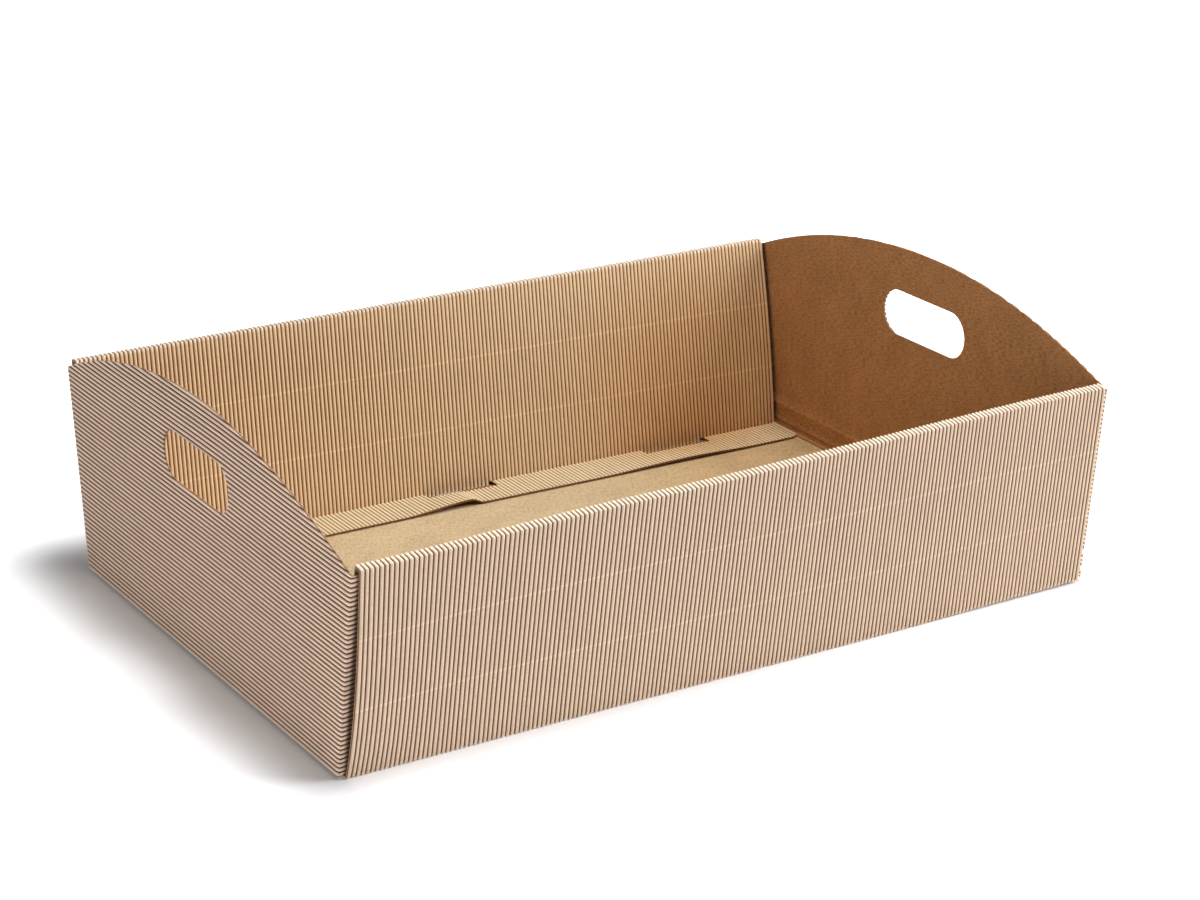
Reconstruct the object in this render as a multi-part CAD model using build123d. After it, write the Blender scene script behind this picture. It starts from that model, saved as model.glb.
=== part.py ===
from build123d import *
from math import atan2, cos, sin
import os

# Cardboard tray box folded from one die-cut sheet of single-face corrugated board.
# The board is a smooth liner with open flutes on one side. The long walls are rolled over:
# each rises as an outer panel, turns over a narrow rim, comes down as an inner panel and ends
# in a strip that lies on the base. The end walls are one layer, arched, with a hand hole, and
# their corner flaps are caught inside the rolled walls. Tabs under the inner panels drop into
# slots in the base and lock the tray.
# X runs along the tray, Y across it and Z up. The origin is the middle of the underside.

# Tray sizes, in millimetres
LENGTH = 500.0
BASE_WIDTH = 324.0
WALL_HEIGHT = 128.0
WALL_FLARE = 18.5

# Board: liner with flutes, and its thickness where a fold or a trapped flap crushes the flutes
FLUTES = 177
BOARD = 1.5
LINER = 0.45
CREASE = 0.4
FLAP = 1.2

# Rolled long walls
RIM_WIDTH = 7.2
FOOT_WIDTH = 5.6
STRIP_WIDTH = 30.0
STRIP_GAP = 0.6
STRIP_CORNER = 7.0

# Lock tabs, and the notches and slots that they work in
TAB_COUNT = 3
TAB_SPACING = 165.0
TAB_WIDTH = 50.0
TAB_CLEARANCE = 0.6
NOTCH_DEPTH = 6.0
SLOT_MARGIN = 1.2

# End walls
END_REACH = 4.4
CORNER_HEIGHT = 124.4
ARCH_HEIGHT = 162.0
HAND_HOLE_LENGTH = 82.0
HAND_HOLE_HEIGHT = 30.0
HAND_HOLE_LEVEL = 118.0

# Corner flaps
FLAP_LENGTH = 56.0
FLAP_GAP = 0.3
FLAP_LIFT = 1.2
FLAP_CORNER = 8.0

# Values worked out from the sizes above, and the spare that blanks and cutters have past a cut
PITCH = LENGTH / FLUTES
SPARE = 4 * BOARD
STRIP_LINER = BOARD + STRIP_GAP
LEAN = atan2(WALL_FLARE, WALL_HEIGHT)
OUTWARD = Vector(0, cos(LEAN), -sin(LEAN))
UPWARD = Vector(0, sin(LEAN), cos(LEAN))
WALL_FOOT = Vector(0, BASE_WIDTH / 2, 0)
END_OUTSIDE = LENGTH / 2 + END_REACH
END_LINER = END_OUTSIDE - BOARD
FLAP_LINER = BOARD + FLAP_GAP + FLAP


def in_wall(depth: float, height: float) -> Vector:
    """Point in the long wall's section, at a depth behind its outer face and a height up it."""
    return WALL_FOOT - OUTWARD * depth + UPWARD * height


def at_level(depth: float, level: float) -> Vector:
    """Point in the long wall's section, at a depth behind its outer face and a level above ground."""
    return in_wall(depth, (level - depth * sin(LEAN)) / cos(LEAN))


def fluted_profile(count: int, start: float) -> Face:
    """Cross-section of the board: the liner along the X axis, with a row of flutes above it."""
    outline = [(start, 0)]
    for flute in range(count):
        left = start + flute * PITCH
        outline += [(left, LINER), (left + PITCH / 2, BOARD)]
    right = start + count * PITCH
    outline += [(right, LINER), (right, 0)]
    return make_face(Polyline(*outline, close=True))


def fold_plane(before: Vector, corner: Vector, after: Vector) -> Plane:
    """Plane that halves the fold at a corner of the section."""
    run_in = (corner - before).normalized()
    run_out = (after - corner).normalized()
    return Plane(origin=corner, x_dir=(1, 0, 0), z_dir=run_in + run_out)


def panel(start: Vector, end: Vector, folds: list, keeps: list) -> Part:
    """Fluted panel whose liner runs from start to end, trimmed by the planes of its folds."""
    run = (end - start).normalized()
    plane = Plane(origin=start - run * SPARE, x_dir=(1, 0, 0), z_dir=run)
    board = extrude(plane * PROFILE, (end - start).length + 2 * SPARE)
    for fold, keep in zip(folds, keeps):
        board = split(board, fold, keep=keep)
    return board


def tab_places() -> list:
    """Middle of each lock tab along the wall."""
    first = -TAB_SPACING * (TAB_COUNT - 1) / 2
    return [first + TAB_SPACING * tab for tab in range(TAB_COUNT)]


def span_box(x_mid: float, x_size: float, low: tuple, high: tuple) -> Part:
    """Box round x_mid along X, between two (y, z) corners."""
    size = (x_size, high[0] - low[0], high[1] - low[1])
    middle = (x_mid, (low[0] + high[0]) / 2, (low[1] + high[1]) / 2)
    return Pos(*middle) * Box(*size)


def inner_panel(rim_fold: Plane, rim_corner: Vector, foot_corner: Vector, foot_fold: Plane) -> Part:
    """Inner panel of a long wall, with its lock tabs reaching through the base to the ground."""
    board = panel(rim_corner, foot_corner, [rim_fold], [Keep.TOP])
    below = Pos(0, 0, SPARE) * Box(LENGTH + SPARE, 4 * SPARE, 2 * SPARE)
    waste = foot_fold * below
    for place in tab_places():
        low = (foot_corner.Y - 2 * SPARE, 0)
        high = (foot_corner.Y + 2 * SPARE, foot_corner.Z + 2 * SPARE)
        waste -= span_box(place, TAB_WIDTH, low, high)
    return board - waste


def base_strip(foot_corner: Vector, strip_end: Vector, foot_fold: Plane) -> Part:
    """Strip below the inner panel, with rounded corners and a notch beside each tab."""
    board = panel(foot_corner, strip_end, [foot_fold], [Keep.TOP])
    edge = LENGTH / 2
    free = strip_end.Y
    back = foot_corner.Y + SPARE
    outline = Polyline((-edge, back), (-edge, free), (edge, free), (edge, back), close=True)
    shape = make_face(outline)
    shape = fillet(shape.vertices().group_by(Axis.Y)[0], STRIP_CORNER)
    for place in tab_places():
        notch = Rectangle(TAB_WIDTH + 2 * TAB_CLEARANCE, NOTCH_DEPTH + 2 * SPARE)
        shape -= Pos(place, foot_corner.Y - NOTCH_DEPTH / 2 + SPARE) * notch
    return board & extrude(shape, STRIP_LINER + SPARE)


def long_wall() -> list:
    """Panels of the rolled wall on the +Y side, from the base fold to the strip."""
    wall_corner = at_level(BOARD, BOARD)
    rim_height = WALL_HEIGHT / cos(LEAN) - BOARD
    rim_outer = in_wall(BOARD, rim_height)
    rim_inner = in_wall(RIM_WIDTH - BOARD, rim_height)
    foot_corner = at_level(FOOT_WIDTH - BOARD, STRIP_LINER)
    strip_end = foot_corner - Vector(0, STRIP_WIDTH, 0)
    middle = Vector(0, 0, BOARD)
    base_fold = fold_plane(middle, wall_corner, rim_outer)
    outer_fold = fold_plane(wall_corner, rim_outer, rim_inner)
    inner_fold = fold_plane(rim_outer, rim_inner, foot_corner)
    foot_fold = fold_plane(rim_inner, foot_corner, strip_end)
    outer = panel(wall_corner, rim_outer, [base_fold, outer_fold], [Keep.TOP, Keep.BOTTOM])
    rim = panel(rim_outer, rim_inner, [outer_fold, inner_fold], [Keep.TOP, Keep.BOTTOM])
    inner = inner_panel(inner_fold, rim_inner, foot_corner, foot_fold)
    strip = base_strip(foot_corner, strip_end, foot_fold)
    return [outer, rim, inner, strip]


def base_panel() -> Part:
    """Base between the long walls' folds, with a slot for each lock tab."""
    corner = at_level(BOARD, BOARD)
    mirrored = Vector(0, -corner.Y, corner.Z)
    fold = fold_plane(mirrored, corner, in_wall(BOARD, WALL_HEIGHT))
    board = panel(mirrored, corner, [fold], [Keep.BOTTOM])
    board = split(board, Plane.XZ, keep=Keep.BOTTOM)
    board += mirror(board, Plane.XZ)
    near = at_level(FOOT_WIDTH, BOARD).Y - SLOT_MARGIN
    far = at_level(FOOT_WIDTH - BOARD, BOARD).Y + SLOT_MARGIN
    for place in tab_places():
        for low, high in ((near, far), (-far, -near)):
            slot_width = TAB_WIDTH + 2 * TAB_CLEARANCE
            board -= span_box(place, slot_width, (low, -SPARE), (high, BOARD + SPARE))
    return board


def end_outline() -> Face:
    """Outline of an end wall in the YZ plane: slanted sides, arched top and the hand hole."""
    foot = at_level(FLAP_LINER, BOARD).Y
    shoulder = at_level(FLAP_LINER, CORNER_HEIGHT).Y
    left = Line((-shoulder, CORNER_HEIGHT), (-foot, BOARD))
    bottom = Line((-foot, BOARD), (foot, BOARD))
    right = Line((foot, BOARD), (shoulder, CORNER_HEIGHT))
    arch = ThreePointArc((shoulder, CORNER_HEIGHT), (0, ARCH_HEIGHT), (-shoulder, CORNER_HEIGHT))
    shape = make_face([left, bottom, right, arch])
    hole = Pos(0, HAND_HOLE_LEVEL) * SlotOverall(HAND_HOLE_LENGTH, HAND_HOLE_HEIGHT)
    return Plane.YZ * (shape - hole)


def end_wall() -> Part:
    """End wall on the +X side, with its flutes lying level."""
    count = int((ARCH_HEIGHT - BOARD) / PITCH) + 1
    upright = Plane(origin=(END_LINER, 0, 0), x_dir=(0, 0, 1), z_dir=(0, 1, 0))
    board = extrude(upright * fluted_profile(count, BOARD), BASE_WIDTH, both=True)
    return board & Pos(END_LINER - SPARE, 0, 0) * extrude(end_outline(), 2 * SPARE)


def end_fold() -> Part:
    """Crushed fold between the base and the end wall on the +X side."""
    inside = (END_LINER, BOARD)
    outside = (END_LINER + CREASE, BOARD)
    under = (END_LINER, BOARD - CREASE)
    edges = Polyline(under, (LENGTH / 2, BOARD - CREASE), (LENGTH / 2, BOARD), inside, outside)
    bend = RadiusArc(outside, under, CREASE)
    section = Plane.XZ * make_face([edges, bend])
    return extrude(section, at_level(FLAP_LINER, BOARD).Y, both=True)


def corner_flap() -> Part:
    """Flap at the +X +Y corner, folded round from the end wall behind the outer panel."""
    low = BOARD + FLAP_LIFT
    high = (CORNER_HEIGHT - FLAP_LINER * sin(LEAN)) / cos(LEAN)
    corner = in_wall(FLAP_LINER, low) + Vector(END_LINER, 0, 0)
    near = -END_REACH
    far = near - FLAP_LENGTH
    outside = Polyline((CREASE, 0), (far, 0), (far, FLAP), (near, FLAP), (near, CREASE), (0, CREASE))
    bend = RadiusArc((CREASE, 0), (0, CREASE), CREASE)
    section = Plane(origin=corner, x_dir=(1, 0, 0), z_dir=UPWARD) * make_face([outside, bend])
    flap = extrude(section, high - low)
    free_edge = flap.edges().filter_by(Axis(corner, OUTWARD)).group_by(Axis.X)[0]
    return fillet(free_edge, FLAP_CORNER)


def tray() -> Part:
    """The whole folded sheet as one solid."""
    wall = long_wall()
    corner = corner_flap()
    end = [end_wall(), end_fold(), corner, mirror(corner, Plane.XZ)]
    pieces = wall + [mirror(piece, Plane.XZ) for piece in wall]
    pieces += end + [mirror(piece, Plane.YZ) for piece in end]
    return base_panel() + pieces


PROFILE = fluted_profile(FLUTES, -LENGTH / 2)

os.makedirs("parts", exist_ok=True)
export_step(tray(), "parts/tray.step")
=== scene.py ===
"""Cardboard tray box: one sheet of single-face corrugated board, cut, fluted and folded.

Every panel is made flat first, as liner and wavy flute paper, is cut there, and is then folded
into place. A flat point has its place across the flutes, its run along them and its height above
the liner's smooth face. Sizes are in millimetres until the last step, which is in metres.
"""

import logging
import random
from bisect import bisect_right
from dataclasses import dataclass, field
from enum import Enum
from functools import cached_property
from math import asin, atan2, cos, pi, radians, sin, sqrt
from typing import Callable

import bpy
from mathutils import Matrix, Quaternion, Vector


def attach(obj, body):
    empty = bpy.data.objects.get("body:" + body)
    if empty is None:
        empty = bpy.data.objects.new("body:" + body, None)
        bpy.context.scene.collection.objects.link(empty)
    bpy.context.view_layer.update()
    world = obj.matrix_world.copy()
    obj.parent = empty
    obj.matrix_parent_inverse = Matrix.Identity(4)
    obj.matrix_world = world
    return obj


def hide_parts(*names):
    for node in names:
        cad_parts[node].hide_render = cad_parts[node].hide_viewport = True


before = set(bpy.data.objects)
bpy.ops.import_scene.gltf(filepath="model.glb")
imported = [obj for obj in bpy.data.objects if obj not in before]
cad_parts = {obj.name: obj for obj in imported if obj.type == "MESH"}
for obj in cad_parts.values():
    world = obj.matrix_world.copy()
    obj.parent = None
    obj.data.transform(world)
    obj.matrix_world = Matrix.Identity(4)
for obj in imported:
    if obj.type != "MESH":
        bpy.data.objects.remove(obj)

LOG = logging.getLogger("tray")
MM = 0.001

# Attribute that keeps each point's flat place, and the angle past which an edge stays sharp
FLAT = "flat"
SMOOTH_ANGLE = 50.0

# Distances in millimetres within which points are one or lie on a fold, and shares of a pitch
SHELL_MERGE = 0.01
FOLD_LINE = 0.05
EDGE_SHARE = 0.01
ROUNDING = 1e-4

# Numbers of a Mix node's colour sockets
MIX_FIRST = 6
MIX_SECOND = 7
MIX_RESULT = 2

Point = tuple[float, float, float]


# Board

@dataclass(frozen=True)
class Board:
    """Single-face corrugated board: a flat liner with a wave of paper glued on it."""

    length: float = 500.0
    flutes: int = 177
    thickness: float = 1.5
    liner: float = 0.36
    paper: float = 0.24
    steps: int = 6
    fullness: float = 0.85
    place_jitter: float = 0.10
    height_jitter: float = 0.05
    glue_press: float = 3.0
    seed: int = 11

    @property
    def pitch(self) -> float:
        """Distance from crest to crest."""
        return self.length / self.flutes

    def wave(self, share: float) -> float:
        """Height of the paper's outer side at a share of a pitch. Glue presses its valleys thin."""
        valley = self.liner + self.paper / self.glue_press
        return valley + (self.thickness - valley) * abs(sin(pi * share)) ** self.fullness


class Side(Enum):
    """Which long wall or end of the tray a piece is for."""

    BACK = 1
    FRONT = -1
    RIGHT = 2
    LEFT = -2

    @property
    def sign(self) -> int:
        """Plus one towards +X or +Y, minus one towards -X or -Y."""
        return 1 if self.value > 0 else -1


# Modelling helpers

def activate(piece: bpy.types.Object) -> None:
    """Selects one object alone and makes it the active one."""
    bpy.ops.object.select_all(action="DESELECT")
    piece.select_set(True)
    bpy.context.view_layer.objects.active = piece


def add_grid(name: str, columns: int, rows: int) -> bpy.types.Object:
    """Adds a grid whose corners lie at whole numbers of columns and rows.

    Args:
        name: name of the new object.
        columns: cells along X.
        rows: cells along Y.

    Returns:
        The new object.
    """
    bpy.ops.object.select_all(action="DESELECT")
    bpy.ops.mesh.primitive_grid_add(x_subdivisions=columns, y_subdivisions=rows, size=1)
    piece = bpy.context.active_object
    piece.name = name
    for vertex in piece.data.vertices:
        column = round((vertex.co.x + 0.5) * columns)
        row = round((vertex.co.y + 0.5) * rows)
        vertex.co = (column, row, 0.0)
    return piece


def apply_modifier(piece: bpy.types.Object, kind: str, **settings: object) -> None:
    """Adds a modifier with its settings and applies it.

    Args:
        piece: object that gets the modifier.
        kind: Blender's name of the modifier type.
        settings: modifier properties by name.
    """
    activate(piece)
    modifier = piece.modifiers.new(kind.lower(), kind)
    for key, value in settings.items():
        setattr(modifier, key, value)
    bpy.ops.object.modifier_apply(modifier=modifier.name)


def delete_cells(piece: bpy.types.Object, inside: Callable[[float, float], bool]) -> None:
    """Deletes the flat sheet's faces whose middle lies inside a cut.

    Args:
        piece: flat sheet.
        inside: test of a face middle's X and Y.
    """
    activate(piece)
    bpy.ops.object.mode_set(mode="EDIT")
    bpy.ops.mesh.select_mode(type="FACE")
    bpy.ops.mesh.select_all(action="DESELECT")
    bpy.ops.object.mode_set(mode="OBJECT")
    for face in piece.data.polygons:
        face.select = inside(face.center.x, face.center.y)
    bpy.ops.object.mode_set(mode="EDIT")
    bpy.ops.mesh.delete(type="FACE")
    bpy.ops.object.mode_set(mode="OBJECT")


def join(name: str, pieces: list[bpy.types.Object]) -> bpy.types.Object:
    """Joins pieces into one object with a plain name.

    Args:
        name: name of the joined object.
        pieces: objects to join.

    Returns:
        The joined object.
    """
    bpy.ops.object.select_all(action="DESELECT")
    for piece in pieces:
        piece.select_set(True)
    bpy.context.view_layer.objects.active = pieces[0]
    bpy.ops.object.join()
    pieces[0].name = name
    pieces[0].data.name = name
    return pieces[0]


def smooth_step(low: float, high: float, value: float) -> float:
    """Share from 0 at low to 1 at high, with soft ends."""
    share = min(max((value - low) / (high - low), 0.0), 1.0)
    return share * share * (3 - 2 * share)


@dataclass(frozen=True)
class Settling:
    """Twist of the used tray: its front wall is more upright and higher at the right end."""

    wall_height: float = 128.0
    front_reach: float = 160.0
    right_span: tuple[float, float] = (-80.0, 250.0)
    left_span: tuple[float, float] = (-250.0, -90.0)
    right_lean: float = 8.0
    right_lift: float = 1.0
    left_drop: float = 3.2
    edge_reach: tuple[float, float] = (150.0, 165.0)
    edge_span: tuple[float, float] = (60.0, 250.0)
    edge_lift: float = 1.8

    def moved(self, place: Vector) -> Vector:
        """Moves a place of the tray as folded to where it is in the used tray.

        Args:
            place: place in the tray as folded, in millimetres.

        Returns:
            The place in the used tray, in millimetres.
        """
        front = smooth_step(0.0, self.front_reach, -place.y)
        right = smooth_step(*self.right_span, place.x)
        left = 1 - smooth_step(*self.left_span, place.x)
        up = place.z / self.wall_height
        edge = smooth_step(*self.edge_reach, -place.y) * smooth_step(*self.edge_span, place.x)
        lift = front * up * (self.right_lift * right - self.left_drop * left)
        lift += self.edge_lift * edge * (1 - up)
        return Vector((place.x, place.y + self.right_lean * front * right * up, place.z + lift))


@dataclass(frozen=True)
class Wear:
    """Bends of the used rolled walls. Spans are places along the tray, from left to right."""

    skew: float = 6.5
    skew_span: tuple[float, float] = (-120.0, 260.0)
    push: float = 2.0
    push_span: tuple[float, float] = (180.0, 245.0)
    bulge: float = 3.4
    bulge_rise: tuple[float, float] = (-55.0, -6.0)
    bulge_fall: tuple[float, float] = (-6.0, 5.0)
    ripple: float = 1.5
    ripple_rise: tuple[float, float] = (90.0, 150.0)
    ripple_fall: tuple[float, float] = (165.0, 215.0)
    bow: float = 4.0
    bow_span: tuple[float, float] = (-250.0, -175.0)
    bow_bias: float = 0.75

    def back(self, x: float, down: float, free: float) -> Vector:
        """Shift of the back wall's inner panel and strip.

        Args:
            x: place along the tray.
            down: share of the way down the inner panel.
            free: share of the way out over the strip.

        Returns:
            The shift outwards and upwards.
        """
        inward = self.skew * smooth_step(*self.skew_span, x) * down
        inward += self.push * smooth_step(*self.push_span, x) * sin(pi * down)
        lift = self.bulge * smooth_step(*self.bulge_rise, x) * (1 - smooth_step(*self.bulge_fall, x))
        lift += self.ripple * smooth_step(*self.ripple_rise, x) * (1 - smooth_step(*self.ripple_fall, x))
        return Vector((-inward, lift * free))

    def front(self, x: float, up: float) -> Vector:
        """Shift of the front wall's outer panel, whose left cut edge bows out."""
        loose = 1 - smooth_step(*self.bow_span, x)
        return Vector((self.bow * loose * sin(pi * up ** self.bow_bias), 0.0))


SETTLING = Settling()
WEAR = Wear()


# Flat sheets

@dataclass
class FlatSheet:
    """A flat piece of board, made as two closed shells: the flute paper and the liner."""

    name: str
    board: Board
    flutes: int
    start: float
    rows: list[float]
    cuts: list[Callable[[float, float], bool]] = field(default_factory=list)
    lay: Callable[[float, float], float] | None = None

    def flute_paper(self) -> bpy.types.Object:
        """Models one flute and repeats it, with small unevenness from flute to flute.

        Returns:
            The flute paper as one flat closed shell.
        """
        board = self.board
        piece = add_grid(self.name + "_flutes", board.steps, len(self.rows) - 1)
        for vertex in piece.data.vertices:
            share = vertex.co.x / board.steps
            vertex.co = (share * board.pitch, vertex.co.y, board.wave(share))
        offset = (board.pitch, 0.0, 0.0)
        apply_modifier(piece, "ARRAY", count=self.flutes, use_relative_offset=False,
                       use_constant_offset=True, constant_offset_displace=offset,
                       use_merge_vertices=True, merge_threshold=SHELL_MERGE)
        self.unevenness(piece)
        self.cut_out(piece)
        apply_modifier(piece, "SOLIDIFY", thickness=board.paper, offset=-1.0,
                       use_even_offset=True)
        return piece

    def unevenness(self, piece: bpy.types.Object) -> None:
        """Moves each flute a little along the sheet and makes it a little lower or higher."""
        board = self.board
        chance = random.Random(board.seed + self.flutes)
        places = [chance.uniform(-1, 1) * board.place_jitter for _ in range(self.flutes + 1)]
        heights = [1 + chance.uniform(-1, 1) * board.height_jitter for _ in range(self.flutes)]
        base = board.wave(0.0)
        for vertex in piece.data.vertices:
            place = vertex.co.x / board.pitch
            flute = min(int(place + ROUNDING), self.flutes - 1)
            share = place - flute
            move = places[flute] * (1 - share) + places[flute + 1] * share
            if place < EDGE_SHARE or place > self.flutes - EDGE_SHARE:
                move = 0.0
            vertex.co.z = base + (vertex.co.z - base) * heights[flute]
            vertex.co.x += self.start + move

    def liner(self) -> bpy.types.Object:
        """Models the liner, with an edge under each valley.

        Returns:
            The liner as one flat closed shell.
        """
        board = self.board
        piece = add_grid(self.name + "_liner", self.flutes, len(self.rows) - 1)
        for vertex in piece.data.vertices:
            vertex.co = (self.start + vertex.co.x * board.pitch, vertex.co.y, board.liner)
        self.cut_out(piece)
        apply_modifier(piece, "SOLIDIFY", thickness=board.liner, offset=-1.0)
        return piece

    def cut_out(self, piece: bpy.types.Object) -> None:
        """Gives each row its real run and takes the waste out of the cut-outs."""
        for vertex in piece.data.vertices:
            run = self.rows[round(vertex.co.y)]
            vertex.co.y = self.lay(vertex.co.x, run) if self.lay else run
        for cut in self.cuts:
            delete_cells(piece, cut)

    def shells(self) -> list[bpy.types.Object]:
        """Both shells of the sheet."""
        return [self.flute_paper(), self.liner()]


def fold_up(piece: bpy.types.Object, fold: Callable[[Point], Vector]) -> None:
    """Folds a flat shell into place and keeps its flat places as an attribute, in metres.

    No operator bends a sheet through crushed creases, so its corners are placed in code.

    Args:
        piece: flat shell, in millimetres.
        fold: gives the place in the tray for a flat point.
    """
    mesh = piece.data
    flat = mesh.attributes.new(FLAT, "FLOAT_VECTOR", "POINT")
    for vertex in mesh.vertices:
        place = tuple(vertex.co)
        flat.data[vertex.index].vector = Vector(place) * MM
        vertex.co = SETTLING.moved(fold(place)) * MM
    activate(piece)
    bpy.ops.object.shade_smooth_by_angle(angle=radians(SMOOTH_ANGLE))


# Folded section of a long wall

@dataclass(frozen=True)
class Row:
    """One row of the rolled sheet: its run, place in the section and flute direction."""

    run: float
    y: float
    z: float
    out_y: float
    out_z: float


@dataclass
class RolledWall:
    """Long wall: outer panel, rim, inner panel and the strip on the base, with lock tabs."""

    side: Side
    board: Board = field(default_factory=Board)
    base_width: float = 324.0
    height: float = 128.0
    flare: float = 18.5
    rim_width: float = 7.2
    foot_width: float = 5.6
    strip_width: float = 30.0
    strip_gap: float = 0.6
    strip_corner: float = 7.0
    tab_places: tuple[float, ...] = (-165.0, 0.0, 165.0)
    tab_width: float = 51.0
    tab_root: float = 2.0
    torn_flutes: int = 1
    notch_depth: float = 9.5
    crease: float = 1.3
    foot_crease: float = 1.9
    crush: float = 0.8
    row_step: float = 12.0

    @cached_property
    def lean(self) -> float:
        """Angle by which the outer panel leans out."""
        return atan2(self.flare, self.height)

    def in_wall(self, depth: float, height: float) -> Vector:
        """Point of the section at a depth behind the outer face and a height up it."""
        y = self.base_width / 2 - depth * cos(self.lean) + height * sin(self.lean)
        return Vector((y, depth * sin(self.lean) + height * cos(self.lean)))

    def at_level(self, depth: float, level: float) -> Vector:
        """Point of the section at a depth behind the outer face and a level above ground."""
        return self.in_wall(depth, (level - depth * sin(self.lean)) / cos(self.lean))

    @cached_property
    def corners(self) -> list[Vector]:
        """Fold points of the liner's smooth face, from the base to the strip's free edge."""
        skin = self.board.thickness
        rim = self.height / cos(self.lean) - skin
        foot = self.at_level(self.foot_width - skin, skin + self.strip_gap)
        return [
            Vector((0.0, skin)),
            self.at_level(skin, skin),
            self.in_wall(skin, rim),
            self.in_wall(self.rim_width - skin, rim),
            foot,
            foot - Vector((self.strip_width, 0.0)),
        ]

    def section(self) -> list[Row]:
        """Lays out the section, with a mitred row at each fold.

        Returns:
            The rows of the sheet, from the base fold to the strip's free edge.
        """
        corners = self.corners
        rows: list[Row] = []
        run = 0.0
        for index in range(1, len(corners) - 1):
            before = (corners[index] - corners[index - 1]).normalized()
            ahead = corners[index + 1] - corners[index]
            along = ahead.normalized()
            out = Vector((along.y, -along.x))
            mitre = (Vector((before.y, -before.x)) + out).normalized()
            mitre *= self.crush / mitre.dot(out)
            corner = corners[index]
            rows.append(Row(run, corner.x, corner.y, mitre.x, mitre.y))
            near = self.foot_crease if index == len(corners) - 2 else self.crease
            far = self.foot_crease if index == len(corners) - 3 else self.crease
            far = 0.0 if index == len(corners) - 2 else far
            for distance in self.spread(near, ahead.length - far):
                place = corner + along * distance
                rows.append(Row(run + distance, place.x, place.y, out.x, out.y))
            run += ahead.length
        return rows

    def spread(self, first: float, last: float) -> list[float]:
        """Distances from first to last, with steps near the row step."""
        count = max(1, round((last - first) / self.row_step))
        return [first + (last - first) * index / count for index in range(count + 1)]

    @cached_property
    def fold_runs(self) -> list[float]:
        """Runs of the folds: at the base, under the rim, behind the rim and at the foot."""
        legs = [(self.corners[index + 1] - self.corners[index]).length for index in range(1, 4)]
        return [sum(legs[:count]) for count in range(4)]

    @property
    def foot_run(self) -> float:
        """Run of the fold between the inner panel and the strip."""
        return self.fold_runs[3]

    def rows(self) -> list[float]:
        """Runs of all rows, with one more at the notches' depth."""
        runs = [row.run for row in self.section()]
        return sorted(runs + [self.foot_run + self.notch_depth])

    def lay(self, x: float, run: float) -> float:
        """Draws the strip's rows back at its rounded free corners.

        Args:
            x: flat place across the flutes.
            run: run of the row.

        Returns:
            The row's run at that place.
        """
        foot = self.foot_run
        if run <= foot + self.notch_depth:
            return run
        inset = self.board.length / 2 - abs(x)
        radius = self.strip_corner
        short = 0.0
        if inset < radius:
            short = radius - sqrt(max(radius * radius - (radius - inset) ** 2, 0.0))
        start = foot + self.notch_depth
        full = self.strip_width - self.notch_depth
        return start + (run - start) * (full - short) / full

    def in_notch(self, x: float, run: float) -> bool:
        """Tells whether a flat place lies in the cut round a lock tab."""
        beside = any(abs(x - place) < self.tab_width / 2 for place in self.tab_places)
        foot = self.foot_run
        return beside and foot < run < foot + self.notch_depth

    def placed(self, at: Point, rows: list[Row]) -> Vector:
        """Folds a flat point to its place between two rows.

        Args:
            at: flat place of the point.
            rows: rows of the section, in order of their runs.

        Returns:
            The place in the tray.
        """
        x, run, height = at
        runs = [row.run for row in rows]
        index = min(max(bisect_right(runs, run) - 1, 0), len(rows) - 2)
        low, high = rows[index], rows[index + 1]
        share = (run - low.run) / (high.run - low.run)
        y = low.y + (high.y - low.y) * share
        z = low.z + (high.z - low.z) * share
        y += height * (low.out_y + (high.out_y - low.out_y) * share)
        z += height * (low.out_z + (high.out_z - low.out_z) * share)
        along = -x * self.side.sign
        shift = self.worn(along, run)
        return Vector((along, (y + shift.x) * self.side.sign, z + shift.y))

    def worn(self, x: float, run: float) -> Vector:
        """Works out how use has shifted a place of the wall.

        Args:
            x: place along the tray.
            run: run of the place.

        Returns:
            The shift outwards and upwards.
        """
        outer, behind, foot = self.fold_runs[1:]
        if self.side is Side.FRONT:
            return WEAR.front(x, min(max(run / outer, 0.0), 1.0))
        down = min(max((run - behind) / (foot - behind), 0.0), 1.0)
        free = min(max((run - foot) / self.strip_width, 0.0), 1.0)
        return WEAR.back(x, down, free)

    def tab(self, place: float, number: int) -> list[bpy.types.Object]:
        """Models one lock tab, straight on from the inner panel down to the ground.

        Args:
            place: middle of the tab across the flutes.
            number: number of the tab, for its name.

        Returns:
            Both shells of the tab, folded.
        """
        pitch = self.board.pitch
        start = -self.board.length / 2
        first = round((place - self.tab_width / 2 - start) / pitch) + self.torn_flutes
        last = round((place + self.tab_width / 2 - start) / pitch)
        corners = self.corners
        down = (corners[4] - corners[3]).normalized()
        out = Vector((down.y, -down.x))
        foot = self.foot_run
        length = corners[4].y / -down.y
        rows = []
        for distance in (-self.tab_root, length):
            spot = corners[4] + down * distance
            rows.append(Row(foot + distance, spot.x, spot.y, out.x, out.y))
        sheet = FlatSheet(f"tab_{number}", self.board, last - first, start + first * pitch,
                          [row.run for row in rows])
        shells = sheet.shells()
        for shell in shells:
            fold_up(shell, lambda at: self.placed(at, rows))
        return shells

    def build(self) -> bpy.types.Object:
        """Makes the wall with its strip and lock tabs.

        Returns:
            The wall as one object.
        """
        name = "back_wall" if self.side is Side.BACK else "front_wall"
        sheet = FlatSheet(name, self.board, self.board.flutes, -self.board.length / 2,
                          self.rows(), [self.in_notch], self.lay)
        rows = self.section()
        shells = sheet.shells()
        for shell in shells:
            fold_up(shell, lambda at: self.placed(at, rows))
        for number, place in enumerate(self.tab_places):
            shells += self.tab(place, number)
        return dress_and_join(name, shells, WALL_FLUTES, BASE_LINER)


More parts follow.
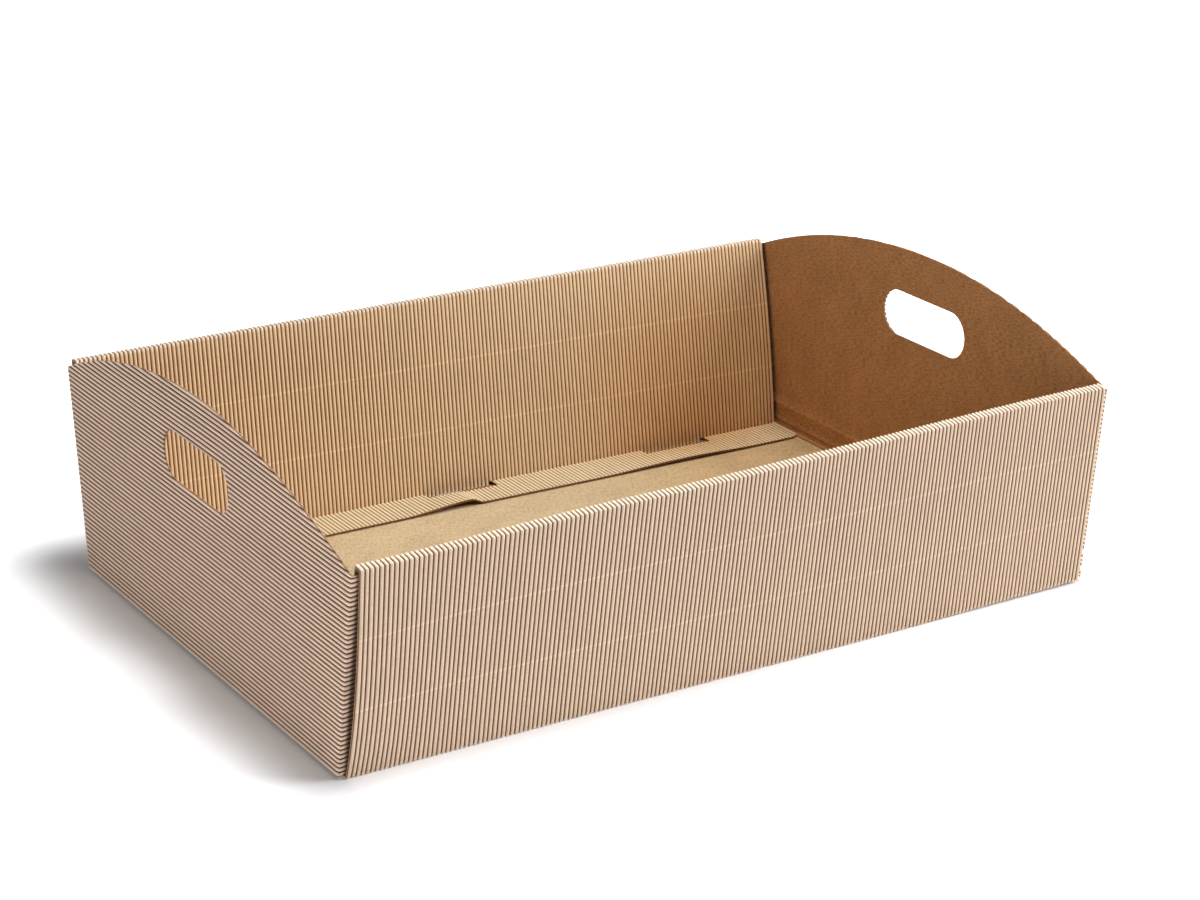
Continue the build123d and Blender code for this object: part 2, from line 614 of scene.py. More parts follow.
@dataclass
class Base:
    """Base panel, flutes down, with a slot for each lock tab."""

    wall: RolledWall
    slot_margin: float = 1.2
    row_places: tuple[float, ...] = (0.0, 40.0, 80.0, 120.0)
    edge_crease: float = 1.0
    ridge: float = 0.5
    ridge_place: float = 244.0
    ridge_width: float = 3.0

    def build(self) -> bpy.types.Object:
        """Makes the base.

        Returns:
            The base as one object.
        """
        board = self.wall.board
        corners = self.wall.corners
        fold = self.wall.section()[0]
        edge = corners[1].x
        near = self.wall.at_level(self.wall.foot_width, board.thickness).x - self.slot_margin
        far = self.wall.at_level(self.wall.foot_width - board.thickness, board.thickness).x
        far += self.slot_margin
        still = self.row_places[-1]
        half = [*self.row_places, near, far, edge - self.edge_crease, edge]
        rows = [-run for run in reversed(half[1:])] + half

        def in_slot(x: float, run: float) -> bool:
            """Tells whether a flat place lies in a slot."""
            width = self.wall.tab_width / 2
            beside = any(abs(x - place) < width for place in self.wall.tab_places)
            return beside and near < abs(run) < far

        def folded(at: Point) -> Vector:
            """Folds a flat point of the base, whose back slots follow the skewed panel.

            Args:
                at: flat place of the point.

            Returns:
                The place in the tray.
            """
            x, run, height = at
            out_y, out_z = 0.0, -1.0
            if abs(run) > edge - SHELL_MERGE:
                out_y, out_z = fold.out_y * (1 if run > 0 else -1), fold.out_z
            away = abs(abs(x) - self.ridge_place)
            ridge = self.ridge * (1 - smooth_step(0.0, self.ridge_width, away))
            inward = 0.0
            if run > 0:
                share = min((run - still) / (near - still), (edge - run) / (edge - far), 1.0)
                inward = WEAR.skew * smooth_step(*WEAR.skew_span, -x) * max(share, 0.0)
            return Vector((-x, run - inward + height * out_y, board.thickness + ridge + height * out_z))

        sheet = FlatSheet("base_panel", board, board.flutes, -board.length / 2, rows, [in_slot])
        shells = sheet.shells()
        for shell in shells:
            fold_up(shell, folded)
        return dress_and_join("base_panel", shells, BASE_FLUTES, BASE_LINER)


@dataclass
class EndWall:
    """End wall with level flutes, an arched top, a hand hole and two corner flaps."""

    side: Side
    wall: RolledWall
    reach: float = 4.4
    corner_height: float = 124.4
    arch_height: float = 162.0
    hole_length: float = 82.0
    hole_height: float = 30.0
    hole_level: float = 118.0
    flap_length: float = 56.0
    flap_gap: float = 0.3
    flap_board: float = 1.2
    flap_crush: float = 0.55
    corner_crush: float = 0.4
    flap_corner: float = 8.0
    flap_lift: float = 1.2
    flap_slit: float = 0.6
    row_shares: tuple[float, ...] = (0.0, 0.18, 0.36, 0.54, 0.72, 0.88)
    flap_rows: tuple[float, ...] = (1.5, 2.0)
    fold_marks: tuple[float, ...] = (7.2, 18.4)
    mark_depth: float = 1.1
    mark_width: float = 2.8
    right_bow: float = 1.2
    left_bow: float = 0.8
    crease: float = 1.4
    fold_board: float = 1.1
    fold_section: tuple[tuple[float, float], ...] = (
        (-3.5, 0.0), (-1.6, 0.0), (-0.5, 0.35), (0.0, 1.3), (0.0, 3.4))
    fold_columns: int = 60
    die_height: float = 10.0
    arc_points: int = 48
    hole_points: int = 48

    @property
    def flap_depth(self) -> float:
        """Depth of the flap's smooth face behind the long wall's outer face."""
        return self.wall.board.thickness + self.flap_board + self.flap_gap

    def crease_at(self, level: float) -> float:
        """Distance of the corner crease from the middle, at a level."""
        return self.wall.at_level(self.flap_depth, level).x

    def lay(self, level: float, row: float) -> float:
        """Works out the run of a row at a level.

        Args:
            level: flat place across the flutes.
            row: value of the row, which is 1 at the corner crease and 2 at the flap's free edge.

        Returns:
            The row's run at that level.
        """
        crease = self.crease_at(level)
        if abs(row) <= 1:
            return row * crease
        past = (abs(row) - 1) * self.flap_length / cos(self.wall.lean)
        return (crease + past) * (1 if row > 0 else -1)

    def rows(self) -> list[float]:
        """Row values from one flap's free edge to the other's."""
        inner = 1 - self.crease / self.wall.base_width * 2
        outer = 1 + self.crease / self.flap_length
        half = [*self.row_shares, inner, 1.0, outer, *self.flap_rows]
        return [-row for row in reversed(half[1:])] + half

    def outline(self) -> list[tuple[float, float]]:
        """Draws the flat outline of the end wall with its flaps.

        Returns:
            The outline's corners, as levels and runs.
        """
        low = self.wall.board.thickness
        shoulder = self.crease_at(self.corner_height)
        rise = self.arch_height - self.corner_height
        radius = (shoulder * shoulder + rise * rise) / (2 * rise)
        sweep = asin(shoulder / radius)
        slant = self.wall.lean
        start = self.crease_at(low)
        edge = self.flap_length * cos(slant)
        drop = self.flap_length * sin(slant)
        tip = shoulder + edge
        raised = low + self.flap_lift
        corner = self.flap_corner
        half = [(0.0, 0.0), (0.0, start), (raised, start + self.flap_slit)]
        half += [(raised, start + edge - corner), (raised + corner, start + edge)]
        half += [(self.corner_height - drop - corner, tip), (self.corner_height - drop, tip - corner)]
        half.append((self.corner_height, shoulder))
        for index in range(1, self.arc_points // 2):
            angle = sweep * (1 - 2 * index / self.arc_points)
            level = self.arch_height - radius * (1 - cos(angle))
            half.append((level, radius * sin(angle)))
        top = [(self.arch_height, 0.0)]
        return half + top + [(level, -run) for level, run in reversed(half[1:])]

    def die(self, name: str, outline: list[tuple[float, float]]) -> bpy.types.Object:
        """Cutter whose section is an outline, standing through the board.

        Args:
            name: name of the cutter.
            outline: flat corners in order.

        Returns:
            The cutter.
        """
        bpy.ops.object.select_all(action="DESELECT")
        bpy.ops.mesh.primitive_circle_add(vertices=len(outline), radius=1.0, fill_type="NGON")
        cutter = bpy.context.active_object
        cutter.name = name
        for vertex, (level, run) in zip(cutter.data.vertices, outline):
            vertex.co = (level, run, -self.die_height / 2)
        bpy.ops.object.mode_set(mode="EDIT")
        bpy.ops.mesh.select_all(action="SELECT")
        move = {"value": (0.0, 0.0, self.die_height)}
        bpy.ops.mesh.extrude_region_move(TRANSFORM_OT_translate=move)
        bpy.ops.mesh.select_all(action="SELECT")
        bpy.ops.mesh.normals_make_consistent(inside=False)
        bpy.ops.object.mode_set(mode="OBJECT")
        return cutter

    def hole_outline(self) -> list[tuple[float, float]]:
        """Draws the flat outline of the hand hole, a slot with round ends.

        Returns:
            The outline's corners, as levels and runs.
        """
        radius = self.hole_height / 2
        straight = self.hole_length / 2 - radius
        corners = []
        for index in range(self.hole_points):
            angle = 2 * pi * (index + 0.5) / self.hole_points
            shift = straight if sin(angle) > 0 else -straight
            corners.append((self.hole_level + radius * cos(angle), shift + radius * sin(angle)))
        return corners

    def fold(self, at: Point) -> Vector:
        """Folds a flat point of the end wall, round the corner crease where it is on a flap.

        Args:
            at: flat place of the point.

        Returns:
            The place in the tray.
        """
        level, run, height = at
        slant = self.wall.lean
        side = 1 if run > 0 else -1
        past = (abs(run) - self.crease_at(level)) * cos(slant)
        face = self.wall.board.length / 2 + self.reach - self.wall.board.thickness
        out = Vector((1.0, 0.0, 0.0))
        flap = Vector((0.0, cos(slant), -sin(slant)))
        place = Vector((face, abs(run), level))
        normal = out
        if past > FOLD_LINE:
            place = place - flap * past - out * past
            normal = flap * self.flap_crush
        elif past > -FOLD_LINE:
            normal = (out + flap) * self.corner_crush
        place = place + normal * height
        place.x += self.bow(place.y, place.z) - self.mark(place.z)
        return Vector((place.x * self.side.sign, place.y * side * self.side.sign * -1, place.z))

    def bow(self, across: float, level: float) -> float:
        """Slight bow of the end wall between its corners."""
        share = max(0.0, 1 - (across / self.crease_at(self.corner_height)) ** 2)
        share *= smooth_step(0.0, self.arch_height, level)
        return (-self.right_bow if self.side is Side.RIGHT else self.left_bow) * share

    def mark(self, level: float) -> float:
        """Height of the ridges that the fold has left on the right wall's inner side."""
        if self.side is Side.LEFT:
            return 0.0
        ridges = [1 - smooth_step(0.0, self.mark_width, abs(level - at)) for at in self.fold_marks]
        return self.mark_depth * max(ridges)

    def foot_fold(self) -> bpy.types.Object:
        """Models the crushed fold between the base and the end wall.

        Returns:
            The fold, dressed as liner on its inner side.
        """
        board = self.wall.board
        face = board.length / 2 + self.reach - board.thickness
        columns = self.fold_columns
        piece = add_grid("foot_fold_liner", columns, len(self.fold_section) - 1)
        half = self.crease_at(board.thickness) - self.fold_board
        mesh = piece.data
        for vertex in mesh.vertices:
            across = (2 * vertex.co.x / columns - 1) * half
            step_in, step_up = self.fold_section[round(vertex.co.y)]
            place = Vector((face + step_in, across, board.thickness + step_up))
            vertex.co = (place.x * self.side.sign, place.y, place.z)
        if self.side is Side.RIGHT:
            mesh.flip_normals()
        apply_modifier(piece, "SOLIDIFY", thickness=self.fold_board, offset=1.0)
        flat = piece.data.attributes.new(FLAT, "FLOAT_VECTOR", "POINT")
        for vertex in piece.data.vertices:
            level = vertex.co.z - (face - abs(vertex.co.x))
            flat.data[vertex.index].vector = Vector((level, vertex.co.y, 0.0)) * MM
            vertex.co = SETTLING.moved(vertex.co) * MM
        activate(piece)
        bpy.ops.object.shade_smooth_by_angle(angle=radians(SMOOTH_ANGLE))
        return piece

    def build(self) -> bpy.types.Object:
        """Makes the end wall with its flaps.

        Returns:
            The end wall as one object.
        """
        name = "right_end" if self.side is Side.RIGHT else "left_end"
        board = self.wall.board
        count = int((self.arch_height - board.thickness) / board.pitch) + 1
        sheet = FlatSheet(name, board, count, board.thickness, self.rows(), [], self.lay)
        blank = self.die("blank_die", self.outline())
        hole = self.die("hole_die", self.hole_outline())
        shells = sheet.shells()
        for shell in shells:
            apply_modifier(shell, "BOOLEAN", operation="INTERSECT", solver="EXACT", object=blank)
            apply_modifier(shell, "BOOLEAN", operation="DIFFERENCE", solver="EXACT", object=hole)
            fold_up(shell, self.fold)
        bpy.data.objects.remove(blank)
        bpy.data.objects.remove(hole)
        shells.append(self.foot_fold())
        return dress_and_join(name, shells, END_FLUTES, END_LINER)


# Finishes

def to_linear(colour: str) -> tuple[float, float, float, float]:
    """Turns an sRGB hex colour to linear values.

    Args:
        colour: hash sign and six hex digits.

    Returns:
        Red, green, blue and a full alpha.
    """
    parts = [int(colour[index:index + 2], 16) / 255 for index in (1, 3, 5)]
    linear = [part / 12.92 if part <= 0.04045 else ((part + 0.055) / 1.055) ** 2.4
              for part in parts]
    return (linear[0], linear[1], linear[2], 1.0)


def add_node(tree: bpy.types.NodeTree, kind: str, settings: dict[str, object],
             inputs: dict[str | int, object]) -> bpy.types.Node:
    """Adds a node with its settings, and with a value or a link for each input.

    Args:
        tree: node tree to add to.
        kind: node type name.
        settings: properties of the node.
        inputs: value or output socket by input name or number.

    Returns:
        The new node.
    """
    node = tree.nodes.new(kind)
    for key, value in settings.items():
        setattr(node, key, value)
    for key, value in inputs.items():
        if isinstance(value, bpy.types.NodeSocket):
            tree.links.new(value, node.inputs[key])
        else:
            node.inputs[key].default_value = value
    return node


@dataclass(frozen=True)
class ShadePatch:
    """Soft patch of painted shade on the flat sheet, with its middle, its reach and its tint."""

    x: float
    run: float
    reach_x: float
    reach_run: float
    tint: str
    core: float = 0.25


@dataclass(frozen=True)
class KraftPaper:
    """Brown kraft paper, machine made and unbleached: matte, with short fibres and soft mottling, and
    with painted shade in its valleys.

    A real fibre is a few hundredths of a millimetre wide. It is drawn coarser, so that it shows.
    """

    name: str
    crest: str
    valley: str
    dark_fibre: str
    roughness: float = 0.86
    crest_low: float = 0.6
    crest_high: float = 1.45
    mottle_size: float = 22.0
    mottle_detail: float = 4.0
    mottle_roughness: float = 0.6
    fibre_width: float = 0.55
    fibre_length: float = 2.6
    fibre_depth: float = 2.0
    fibre_detail: float = 3.0
    fibre_roughness: float = 0.65
    fleck: float = 0.42
    mottle: float = 0.07
    mark_spacing: float = 43.2
    mark_width: float = 1.0
    mark_gain: float = 0.0
    zones: tuple[tuple[float, str], ...] = ()
    valleys: tuple[tuple[float, str], ...] = ()
    shade_patches: tuple[ShadePatch, ...] = ()
    zone_change: float = 0.8
    zone_slant: float = 0.0
    fleck_range: tuple[float, float] = (0.44, 0.72)
    mottle_range: tuple[float, float] = (0.3, 0.7)
    bump_strength: float = 0.35
    bump_depth: float = 0.1
    creases: tuple[float, ...] = ()
    crease_width: float = 2.4
    crease_gain: float = 0.3

    def make(self) -> bpy.types.Material:
        """Builds the material on the sheet's flat places.

        Returns:
            The material.
        """
        material = bpy.data.materials.new(self.name)
        material.use_nodes = True
        tree = material.node_tree
        tree.nodes.clear()
        flat = add_node(tree, "ShaderNodeAttribute", {"attribute_name": FLAT}, {})
        place = flat.outputs["Vector"]
        parts = add_node(tree, "ShaderNodeSeparateXYZ", {}, {"Vector": place})
        height = add_node(tree, "ShaderNodeMapRange", {"interpolation_type": "SMOOTHSTEP"}, {
            "Value": parts.outputs["Z"], "From Min": self.crest_low * MM,
            "From Max": self.crest_high * MM})
        mottle = add_node(tree, "ShaderNodeTexNoise", {}, {
            "Vector": place, "Scale": 1 / (self.mottle_size * MM), "Detail": self.mottle_detail,
            "Roughness": self.mottle_roughness})
        fibre_size = (self.fibre_length, self.fibre_width, self.fibre_depth)
        stretch = tuple(1 / (size * MM) for size in fibre_size)
        fibre_place = add_node(tree, "ShaderNodeMapping", {}, {"Vector": place, "Scale": stretch})
        fibre = add_node(tree, "ShaderNodeTexNoise", {}, {
            "Vector": fibre_place.outputs["Vector"], "Scale": 1.0, "Detail": self.fibre_detail,
            "Roughness": self.fibre_roughness})
        # Crest colour on the crests, valley colour in the valleys. On flute paper the paler crests are
        # partly wear, and the darker valleys are painted shade; on liner the crest colour marks the cut
        # edge.
        colour = add_node(tree, "ShaderNodeMix", {"data_type": "RGBA"}, {
            "Factor": height.outputs["Result"],
            MIX_FIRST: self.zoned(tree, parts, self.valley, self.valleys),
            MIX_SECOND: to_linear(self.crest)})
        fleck = add_node(tree, "ShaderNodeMapRange", {}, {
            "Value": fibre.outputs["Fac"],
            "From Min": self.fleck_range[0], "From Max": self.fleck_range[1],
            "To Min": 0.0, "To Max": self.fleck})
        flecked = add_node(tree, "ShaderNodeMix", {"data_type": "RGBA", "blend_type": "MULTIPLY"}, {
            "Factor": fleck.outputs["Result"], MIX_FIRST: colour.outputs[MIX_RESULT],
            MIX_SECOND: to_linear(self.dark_fibre)})
        shade = add_node(tree, "ShaderNodeMapRange", {}, {
            "Value": mottle.outputs["Fac"],
            "From Min": self.mottle_range[0], "From Max": self.mottle_range[1],
            "To Min": 1 - self.mottle, "To Max": 1 + self.mottle})
        line = add_node(tree, "ShaderNodeMath", {"operation": "PINGPONG"}, {
            0: parts.outputs["Y"], 1: self.mark_spacing / 2 * MM})
        lined = add_node(tree, "ShaderNodeMapRange", {"interpolation_type": "SMOOTHSTEP"}, {
            "Value": line.outputs["Value"], "From Min": 0.0, "From Max": self.mark_width * MM,
            "To Min": 1 + self.mark_gain, "To Max": 1.0})
        shade = add_node(tree, "ShaderNodeMath", {"operation": "MULTIPLY"}, {
            0: shade.outputs["Result"], 1: lined.outputs["Result"]})
        if self.creases:
            shade = add_node(tree, "ShaderNodeMath", {"operation": "MULTIPLY"}, {
                0: shade.outputs["Value"], 1: self.creased(tree, parts.outputs["X"])})
        # Zone tints, among them the rims' painted highlight and painted shade on the flaps and in the
        # notches' recesses.
        tinted = add_node(tree, "ShaderNodeMix", {"data_type": "RGBA", "blend_type": "MULTIPLY"}, {
            "Factor": 1.0, MIX_FIRST: flecked.outputs[MIX_RESULT],
            MIX_SECOND: self.zoned(tree, parts, "#FFFFFF", self.zones)})
        paper = tinted.outputs[MIX_RESULT]
        # Patches of painted shade, such as the darkening towards the right end of the inner panels and
        # the base.
        for patch in self.shade_patches:
            paper = self.with_shade_patch(tree, place, paper, patch)
        mottled = add_node(tree, "ShaderNodeVectorMath", {"operation": "SCALE"}, {
            0: paper, "Scale": shade.outputs["Value"]})
        bump = add_node(tree, "ShaderNodeBump", {}, {
            "Strength": self.bump_strength, "Distance": self.bump_depth * MM,
            "Height": fibre.outputs["Fac"]})
        shader = add_node(tree, "ShaderNodeBsdfPrincipled", {}, {
            "Base Color": mottled.outputs["Vector"], "Roughness": self.roughness,
            "Normal": bump.outputs["Normal"]})
        add_node(tree, "ShaderNodeOutputMaterial", {}, {"Surface": shader.outputs["BSDF"]})
        return material

    def zoned(self, tree: bpy.types.NodeTree, place: bpy.types.Node, first: str,
              zones: tuple[tuple[float, str], ...]) -> bpy.types.NodeSocket:
        """Colour that differs between zones of the sheet: some zones are paper of another tone, some a
        painted highlight and some painted shade.

        Args:
            tree: node tree to add to.
            place: node that splits the flat place.
            first: colour before the first zone.
            zones: run at which each zone starts, and its colour.

        Returns:
            The colour.
        """
        plain = add_node(tree, "ShaderNodeRGB", {}, {})
        plain.outputs[0].default_value = to_linear(first)
        socket = plain.outputs[0]
        away = add_node(tree, "ShaderNodeMath", {"operation": "ABSOLUTE"}, {0: place.outputs["Y"]})
        run = add_node(tree, "ShaderNodeMath", {"operation": "MULTIPLY_ADD"}, {
            0: place.outputs["X"], 1: -self.zone_slant, 2: away.outputs["Value"]})
        for start, colour in zones:
            share = add_node(tree, "ShaderNodeMapRange", {}, {
                "Value": run.outputs["Value"], "From Min": start * MM,
                "From Max": (start + self.zone_change) * MM})
            mixed = add_node(tree, "ShaderNodeMix", {"data_type": "RGBA"}, {
                "Factor": share.outputs["Result"], MIX_FIRST: socket, MIX_SECOND: to_linear(colour)})
            socket = mixed.outputs[MIX_RESULT]
        return socket

    def with_shade_patch(self, tree: bpy.types.NodeTree, place: bpy.types.NodeSocket,
                paper: bpy.types.NodeSocket, patch: ShadePatch) -> bpy.types.NodeSocket:
        """Colour of the paper with one patch of painted shade on it.

        Args:
            tree: node tree to add to.
            place: the flat place.
            paper: colour of the paper without the patch.
            patch: the patch of painted shade.

        Returns:
            The colour with the painted shade.
        """
        away = add_node(tree, "ShaderNodeVectorMath", {"operation": "SUBTRACT"}, {
            0: place, 1: (patch.x * MM, patch.run * MM, 0.0)})
        away = add_node(tree, "ShaderNodeVectorMath", {"operation": "DIVIDE"}, {
            0: away.outputs["Vector"], 1: (patch.reach_x * MM, patch.reach_run * MM, 1.0)})
        away = add_node(tree, "ShaderNodeVectorMath", {"operation": "LENGTH"}, {
            0: away.outputs["Vector"]})
        share = add_node(tree, "ShaderNodeMapRange", {"interpolation_type": "SMOOTHSTEP"}, {
            "Value": away.outputs["Value"], "From Min": patch.core, "From Max": 1.0,
            "To Min": 1.0, "To Max": 0.0})
        mixed = add_node(tree, "ShaderNodeMix", {"data_type": "RGBA", "blend_type": "MULTIPLY"}, {
            "Factor": share.outputs["Result"], MIX_FIRST: paper, MIX_SECOND: to_linear(patch.tint)})
        return mixed.outputs[MIX_RESULT]

    def creased(self, tree: bpy.types.NodeTree, across: bpy.types.NodeSocket) -> bpy.types.NodeSocket:
        """Paler lines along creases: partly the paper's skin stretched pale, partly a painted highlight
        on their ridges.

        Args:
            tree: node tree to add to.
            across: the flat place across the flutes.

        Returns:
            The gain in brightness.
        """
        away = add_node(tree, "ShaderNodeMath", {"operation": "ABSOLUTE"}, {0: across})
        nearest = None
        for place in self.creases:
            gap = add_node(tree, "ShaderNodeMath", {"operation": "SUBTRACT"}, {
                0: away.outputs["Value"], 1: place * MM})
            gap = add_node(tree, "ShaderNodeMath", {"operation": "ABSOLUTE"}, {
                0: gap.outputs["Value"]})
            nearest = gap if nearest is None else add_node(
                tree, "ShaderNodeMath", {"operation": "MINIMUM"}, {
                    0: nearest.outputs["Value"], 1: gap.outputs["Value"]})
        gain = add_node(tree, "ShaderNodeMapRange", {"interpolation_type": "SMOOTHSTEP"}, {
            "Value": nearest.outputs["Value"], "From Min": 0.0,
            "From Max": self.crease_width * MM, "To Min": 1 + self.crease_gain, "To Max": 1.0})
        return gain.outputs["Result"]


# Outer sides of the rolled walls and strips: kraft paper that is rolled hot into flutes and glued
# on. That makes it matte and fibrous, and cream on the crests, partly from wear; its valleys are
# painted brown and dark as shade, less dark on the inner panels. The rims are painted paler as a
# highlight from the light above, the inner panels are yellower, the glue shows as pale lines across
# the flutes, and patches of painted shade darken the inner panels towards one end.
WALL_FLUTES = KraftPaper("kraft_flute_paper", "#FFF4E4", "#7C491F", "#C8A684",
                         crest_low=0.62, crest_high=1.35, mottle=0.03, fleck=0.3, mark_gain=0.2,
                         zones=((-20.0, "#E1D3C5"), (126.0, "#F6F2EC"), (131.2, "#E3D4B9"),
                                (257.0, "#E7E3CB")),
                         valleys=((131.2, "#A06C3C"),),
                         shade_patches=(ShadePatch(-205.0, 215.0, 155.0, 105.0, "#FFEDD6"),
                                 ShadePatch(-178.0, 252.0, 85.0, 52.0, "#F6EADC", core=0.1)))

# Underside of the base: the same fluted kraft paper, which looks evenly grey-brown, because light
# and hands seldom reach it. Its valleys are painted darker as shade.
BASE_FLUTES = KraftPaper("kraft_base_flutes", "#FFF4E4", "#7C491F", "#C8A684",
                         crest_low=0.62, crest_high=1.35, mottle=0.03, fleck=0.3,
                         zones=((-20.0, "#E1D3C5"),))

# Outer sides of the end walls: the same fluted kraft paper with level flutes. Its valleys are
# painted redder and darker as shade, and its corner flaps, deep in the folds, are painted dark as shade.
END_FLUTES = KraftPaper("kraft_end_flutes", "#F6DFC8", "#6E3208", "#C8A684",
                        crest_low=0.75, crest_high=1.42, mottle=0.03, fleck=0.3,
                        zones=((160.3, "#705C50"),), zone_slant=0.1445, zone_change=2.2)

# Inside of the base: kraft liner, pressed smooth between rollers. That makes it matte, even and
# straw brown, with soft clouds and short streaks of fibre. Its pale line near each end is partly
# stretched skin at the fold and partly a painted highlight, its edges under the strips are painted
# brown as the shade in the notches' recesses, and a patch of painted shade darkens it towards the
# right end.
BASE_LINER = KraftPaper("kraft_liner", "#C9B38E", "#C9B38E", "#A88A60", mottle_size=24.0,
                        mottle=0.09, fleck=0.65, fibre_width=3.6, fibre_length=0.9,
                        creases=(247.5,), crease_gain=0.22, zones=((147.5, "#B5825A"),),
                        shade_patches=(ShadePatch(-250.0, 60.0, 210.0, 260.0, "#FFF5E3"),))

# Inside of the end walls: the same smooth kraft liner, painted darker and redder there as shade,
# with a paler cut edge, and with paler lines where folding has stretched its skin, which are partly
# a painted highlight on the fold ridges. Its corner flaps are painted dark as shade.
END_LINER = KraftPaper("kraft_end_liner", "#DCC3A2", "#C08D5B", "#956B3A", mottle_size=26.0,
                       mottle=0.10, fleck=0.75, fibre_width=3.6, fibre_length=0.9,
                       crest_low=0.04, crest_high=0.34, creases=(7.2, 18.4), crease_gain=0.28,
                       zones=((158.7, "#5A4638"),), zone_slant=0.1445)


def dress_and_join(name: str, shells: list[bpy.types.Object], flutes: KraftPaper,
                   liner: KraftPaper) -> bpy.types.Object:
    """Gives each shell its paper and joins them into one piece of the tray.

    Args:
        name: name of the piece.
        shells: flute and liner shells, folded.
        flutes: finish of the flute paper.
        liner: finish of the liner.

    Returns:
        The finished piece, declared to the frame.
    """
    for shell in shells:
        finish = liner if "liner" in shell.name else flutes
        material = bpy.data.materials.get(finish.name) or finish.make()
        shell.data.materials.clear()
        shell.data.materials.append(material)
    piece = join(name, shells)
    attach(piece, "root")
    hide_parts("tray")
    return piece


# Studio

@dataclass(frozen=True)
class Lamp:
    """Soft square lamp that points at the tray. Its place and size are in metres."""

    name: str
    place: Point
    size: float
    power: float
    colour: str = "#FFFFFF"

    def hang(self, aim: Vector) -> None:
        """Puts the lamp up and points it.

        Args:
            aim: place that it points at, in metres.
        """
        data = bpy.data.lights.new(self.name, "AREA")
        data.size = self.size
        data.energy = self.power
        data.color = to_linear(self.colour)[:3]
        lamp = bpy.data.objects.new(self.name, data)
        bpy.context.scene.collection.objects.link(lamp)
        lamp.location = self.place
        lamp.rotation_euler = (aim - Vector(self.place)).to_track_quat("-Z", "Y").to_euler()


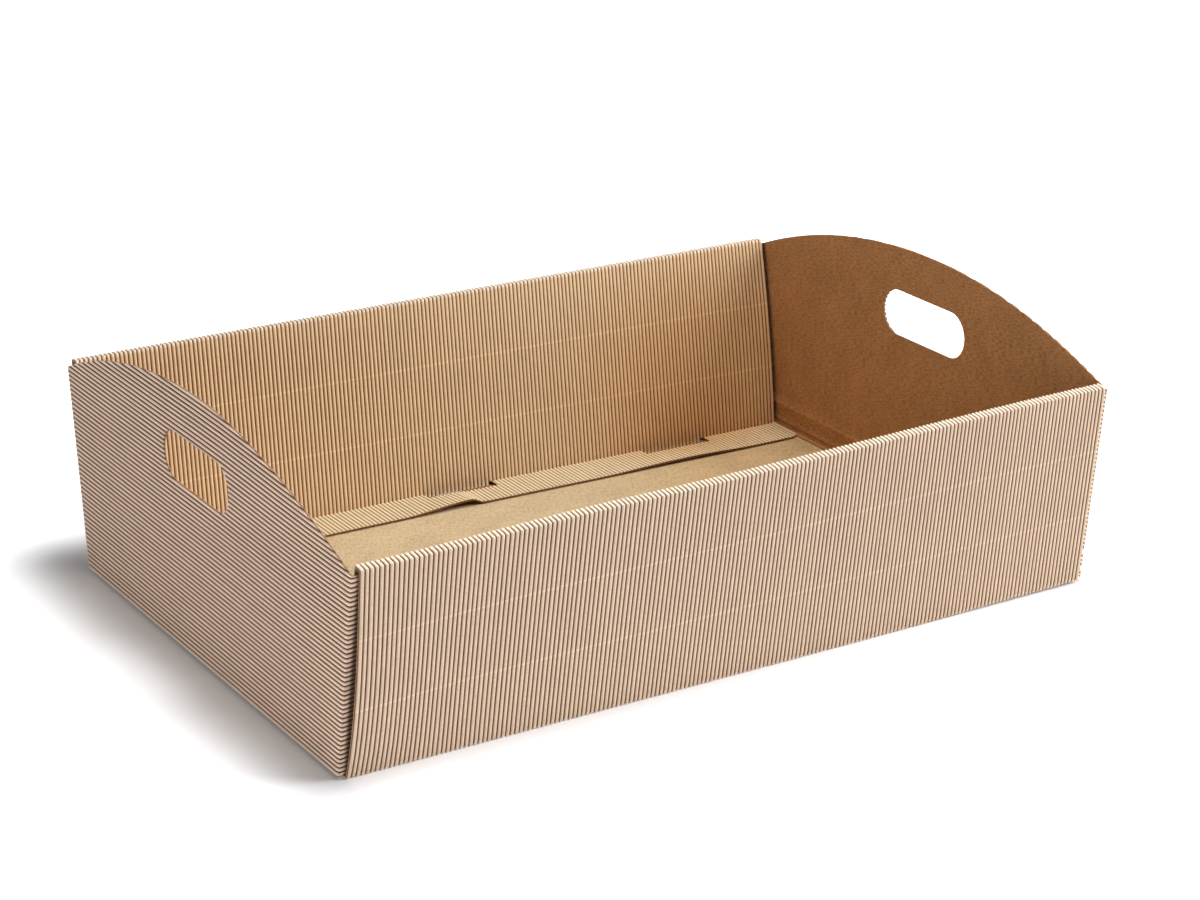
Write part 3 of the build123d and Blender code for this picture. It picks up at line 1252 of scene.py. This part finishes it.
@dataclass(frozen=True)
class Studio:
    """Pale floor, white surroundings, soft lamps and the camera at the photo's view.

    The camera's place and aim are in millimetres, and the rest is in metres.
    """

    lens: float = 87.8334
    sensor: float = 36.0
    camera_place: Point = (-881.857, -1365.643, 703.241)
    camera_aim: Point = (20.762, 18.790, 70.759)
    camera_roll: float = 1.0062
    camera_clip: tuple[float, float] = (0.05, 50.0)
    lamp_aim: Point = (0.0, 0.0, 0.05)
    floor_size: float = 14.0
    floor_paint: str = "#F2F3F6"
    # The floor's glow for the camera rises from floor_lift near the tray to floor_white a little way
    # off: painted light that fades the tray's shadow out quickly.
    floor_lift: float = 0.08
    floor_white: float = 1.0
    lift_box: Point = (0.25, 0.162, 0.0)
    lift_span: tuple[float, float] = (0.0, 0.12)
    ambient: float = 0.07
    lamps: tuple[Lamp, ...] = (
        Lamp("key_lamp", (1.3, -1.3, 1.8), 0.8, 22.0),
        Lamp("right_lamp", (2.0, -1.4, 1.2), 1.2, 38.0),
        Lamp("top_lamp", (0.25, -0.25, 2.3), 0.7, 37.0),
        Lamp("left_lamp", (-2.2, -0.9, 0.4), 0.8, 16.0),
    )

    def set_up(self) -> None:
        """Makes the floor, world, lamps and camera."""
        self.floor()
        self.world()
        for lamp in self.lamps:
            lamp.hang(Vector(self.lamp_aim))
        self.camera()
        bpy.context.scene.view_settings.view_transform = "Standard"

    def floor(self) -> None:
        """Adds the floor, lifted to white for camera and reflections, less near the tray: painted light
        that cuts its shadow short.
        """
        bpy.ops.object.select_all(action="DESELECT")
        bpy.ops.mesh.primitive_plane_add(size=self.floor_size)
        ground = bpy.context.active_object
        ground.name = "floor"
        material = bpy.data.materials.new("white_floor")
        material.use_nodes = True
        tree = material.node_tree
        tree.nodes.clear()
        seen = self.seen(tree)
        place = add_node(tree, "ShaderNodeTexCoord", {}, {})
        away = add_node(tree, "ShaderNodeVectorMath", {"operation": "ABSOLUTE"}, {
            0: place.outputs["Object"]})
        away = add_node(tree, "ShaderNodeVectorMath", {"operation": "SUBTRACT"}, {
            0: away.outputs["Vector"], 1: self.lift_box})
        away = add_node(tree, "ShaderNodeVectorMath", {"operation": "MAXIMUM"}, {
            0: away.outputs["Vector"], 1: (0.0, 0.0, 0.0)})
        away = add_node(tree, "ShaderNodeVectorMath", {"operation": "LENGTH"}, {
            0: away.outputs["Vector"]})
        white = add_node(tree, "ShaderNodeMapRange", {"interpolation_type": "SMOOTHSTEP"}, {
            "Value": away.outputs["Value"], "From Min": self.lift_span[0],
            "From Max": self.lift_span[1], "To Min": self.floor_lift, "To Max": self.floor_white})
        lift = add_node(tree, "ShaderNodeMath", {"operation": "MULTIPLY"}, {
            0: seen, 1: white.outputs["Result"]})
        paint = add_node(tree, "ShaderNodeBsdfDiffuse", {}, {"Color": to_linear(self.floor_paint)})
        glow = add_node(tree, "ShaderNodeEmission", {}, {"Strength": lift.outputs["Value"]})
        both = add_node(tree, "ShaderNodeAddShader", {}, {
            0: paint.outputs["BSDF"], 1: glow.outputs["Emission"]})
        add_node(tree, "ShaderNodeOutputMaterial", {}, {"Surface": both.outputs["Shader"]})
        ground.data.materials.append(material)

    def seen(self, tree: bpy.types.NodeTree) -> bpy.types.NodeSocket:
        """Tells camera, glossy and transmission rays from the rest.

        Args:
            tree: node tree to add to.

        Returns:
            A value of 1 for those rays, else 0.
        """
        path = add_node(tree, "ShaderNodeLightPath", {}, {})
        some = add_node(tree, "ShaderNodeMath", {"operation": "MAXIMUM"}, {
            0: path.outputs["Is Camera Ray"], 1: path.outputs["Is Glossy Ray"]})
        more = add_node(tree, "ShaderNodeMath", {"operation": "MAXIMUM"}, {
            0: some.outputs["Value"], 1: path.outputs["Is Transmission Ray"]})
        return more.outputs["Value"]

    def world(self) -> None:
        """Makes the surroundings white to see and a plain soft light for the rest."""
        world = bpy.data.worlds.new("studio")
        bpy.context.scene.world = world
        world.use_nodes = True
        tree = world.node_tree
        tree.nodes.clear()
        strength = add_node(tree, "ShaderNodeMapRange", {}, {
            "Value": self.seen(tree), "To Min": self.ambient, "To Max": 1.0})
        back = add_node(tree, "ShaderNodeBackground", {}, {
            "Color": to_linear("#FFFFFF"), "Strength": strength.outputs["Result"]})
        add_node(tree, "ShaderNodeOutputWorld", {}, {"Surface": back.outputs["Background"]})

    def camera(self) -> None:
        """Puts the camera at the photo's view."""
        data = bpy.data.cameras.new("camera")
        data.lens = self.lens
        data.sensor_width = self.sensor
        data.clip_start, data.clip_end = self.camera_clip
        camera = bpy.data.objects.new("camera", data)
        bpy.context.scene.collection.objects.link(camera)
        place = Vector(self.camera_place) * MM
        aim = Vector(self.camera_aim) * MM
        turn = (aim - place).to_track_quat("-Z", "Y")
        roll = Quaternion((0.0, 0.0, 1.0), radians(self.camera_roll))
        camera.rotation_mode = "QUATERNION"
        camera.location = place
        camera.rotation_quaternion = turn @ roll
        bpy.context.scene.camera = camera


def main() -> None:
    """Builds the tray and the studio, and reports each piece."""
    logging.basicConfig(level=logging.INFO, format="%(message)s")
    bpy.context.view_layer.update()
    back = RolledWall(Side.BACK)
    front = RolledWall(Side.FRONT)
    parts = [Base(back), back, front, EndWall(Side.RIGHT, back), EndWall(Side.LEFT, back)]
    for part in parts:
        piece = part.build()
        LOG.info("%s: %d faces", piece.name, len(piece.data.polygons))
    Studio().set_up()


if __name__ == "__main__":
    main()
